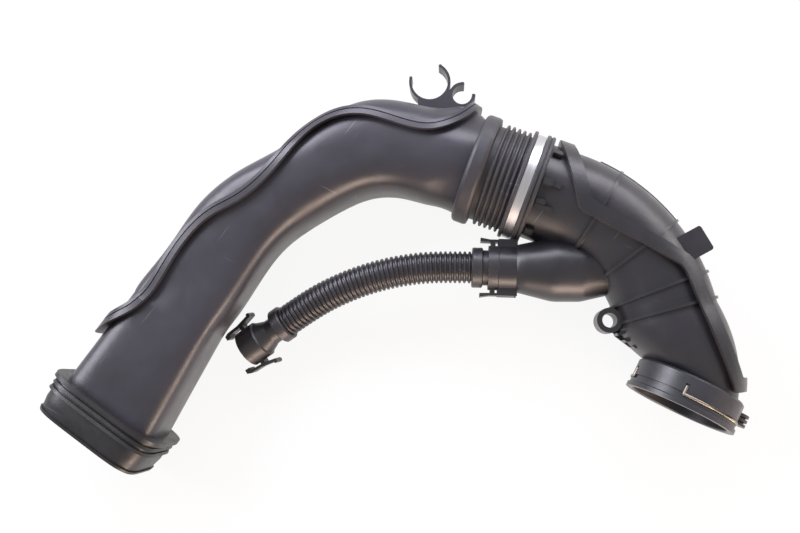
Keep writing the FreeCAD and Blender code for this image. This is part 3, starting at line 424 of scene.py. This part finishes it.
def strip_steel(name, tones, roughness, line_mm):
    """Steel with lines that run round the bellows."""
    material, tree, shader = blank(name, Metallic=1.0)
    where = add_node(tree, "ShaderNodeTexCoord").outputs["Object"]
    turned = add_node(tree, "ShaderNodeMapping", {"Rotation": (0, 0, -BELLOWS_HEADING)},
                      {"Vector": where})
    stretched = add_node(tree, "ShaderNodeMapping",
                         {"Scale": (1000 / line_mm, STRIP_SCALE, STRIP_SCALE)},
                         {"Vector": turned.outputs["Vector"]})
    lines = add_node(tree, "ShaderNodeTexNoise", {"Scale": 1.0, "Detail": 4.0},
                     {"Vector": stretched.outputs["Vector"]})
    colour = two_tones(tree, lines.outputs["Fac"], tones, STRIP_SPREAD)
    tree.links.new(colour, shader.inputs["Base Color"])
    rough = add_node(tree, "ShaderNodeMapRange",
                     {"To Min": roughness[0], "To Max": roughness[1]},
                     {"Value": lines.outputs["Fac"]})
    tree.links.new(rough.outputs["Result"], shader.inputs["Roughness"])
    return material


clamp_steel = strip_steel("stainless_steel_rolled", ("#b9b8ba", "#d6d5d6"),
                          roughness=(0.28, 0.40), line_mm=0.5)
spring_wire = strip_steel("spring_steel_plated", ("#857e74", "#a29b90"),
                          roughness=(0.42, 0.55), line_mm=12)
dress(clamp_steel, "clamp_steel", "band_clamp")
dress(spring_wire, "spring_wire", "wire_clip")

# %% [markdown]
# ## Table and light
# The part lies on a white table under wide soft lamps, and the table throws warm light back
# under it. The camera sees the table almost as pure white with a faint shadow: most of the
# table's material glows, at the strength of white, for the camera's rays and for reflections.
# For all other rays it is a plain white sheet.

# %% White table
TABLE_SIZE = 4.0
TABLE_DROP = 0.0002
TABLE_GLOW = 0.9


def add_table(size):
    """Flat white sheet under the part."""
    bm = bmesh.new()
    bmesh.ops.create_grid(bm, x_segments=1, y_segments=1, size=size / 2,
                          matrix=Matrix.Translation((0, 0, -TABLE_DROP)))
    mesh = bpy.data.meshes.new("table")
    bm.to_mesh(mesh)
    bm.free()
    table = bpy.data.objects.new("table", mesh)
    bpy.context.collection.objects.link(table)
    return table


def table_white():
    """White sheet that shows white to the camera and keeps a faint shadow."""
    material, tree, shader = blank("table_white", Base_Color=linear("#f2efec"), Roughness=0.9)
    path = add_node(tree, "ShaderNodeLightPath")
    seen = add_node(tree, "ShaderNodeMath", operation="MAXIMUM",
                    links={0: path.outputs["Is Camera Ray"], 1: path.outputs["Is Glossy Ray"]})
    part = add_node(tree, "ShaderNodeMath", {1: TABLE_GLOW}, {0: seen.outputs["Value"]},
                    operation="MULTIPLY")
    glow = add_node(tree, "ShaderNodeEmission", {"Color": (1, 1, 1, 1), "Strength": 1.0})
    mixed = add_node(tree, "ShaderNodeMixShader",
                     links={"Fac": part.outputs["Value"], 1: shader.outputs["BSDF"],
                            2: glow.outputs["Emission"]})
    tree.links.new(mixed.outputs["Shader"], tree.nodes["Material Output"].inputs["Surface"])
    return material


table = add_table(TABLE_SIZE)
table.data.materials.append(table_white())

# %% [markdown]
# ## Lamps
# Three cool lamps stand behind and beside the part. A warm one stands low in front of it and
# lights the walls that face the lower edge of the picture. Each row gives a lamp's name, place,
# aim, size, power in watts and colour.

# %% Soft lamps
LAMPS = (("lamp_back", (-0.1, 1.1, 0.75), (0, 0, 0.05), (1.6, 0.6), 22, "#f1f0ff"),
         ("lamp_right", (0.95, 0.8, 0.42), (0.1, 0, 0.04), (1.0, 0.5), 9, "#f6f2f4"),
         ("lamp_left", (-0.95, 0.55, 0.7), (0, 0, 0.04), (1.0, 0.6), 20, "#f1f0fa"),
         ("lamp_front", (0.45, -1.1, 0.24), (-0.05, 0, 0.03), (1.6, 0.5), 26, "#ffe2cd"))


def add_lamp(name, place, aim, size, power, colour):
    """Wide soft lamp turned to the part."""
    data = bpy.data.lights.new(name, "AREA")
    data.shape = "RECTANGLE"
    data.size, data.size_y = size
    data.energy = power
    data.color = linear(colour)[:3]
    lamp = bpy.data.objects.new(name, data)
    bpy.context.collection.objects.link(lamp)
    lamp.location = place
    lamp.rotation_euler = (Vector(aim) - Vector(place)).to_track_quat("-Z", "Y").to_euler()


for row in LAMPS:
    add_lamp(*row)

# %% [markdown]
# ## White room
# The room gives a weak even light. The camera sees it as white, and shiny surfaces reflect it
# brighter than it lights the part, as a white room does.

# %% White room
ROOM_LIGHT = 0.28
ROOM_IN_GLOSS = 0.30


def white_room():
    """World of weak even light that the camera sees as white."""
    world = bpy.data.worlds.new("studio")
    bpy.context.scene.world = world
    world.use_nodes = True
    tree = world.node_tree
    path = add_node(tree, "ShaderNodeLightPath")
    gloss = add_node(tree, "ShaderNodeMath", {1: ROOM_IN_GLOSS, 2: ROOM_LIGHT},
                     {0: path.outputs["Is Glossy Ray"]}, operation="MULTIPLY_ADD")
    seen = add_node(tree, "ShaderNodeMath", operation="MAXIMUM",
                    links={0: gloss.outputs["Value"], 1: path.outputs["Is Camera Ray"]})
    background = tree.nodes["Background"]
    background.inputs["Color"].default_value = linear("#ffffff")
    tree.links.new(seen.outputs["Value"], background.inputs["Strength"])


white_room()
bpy.context.scene.view_settings.view_transform = "Standard"
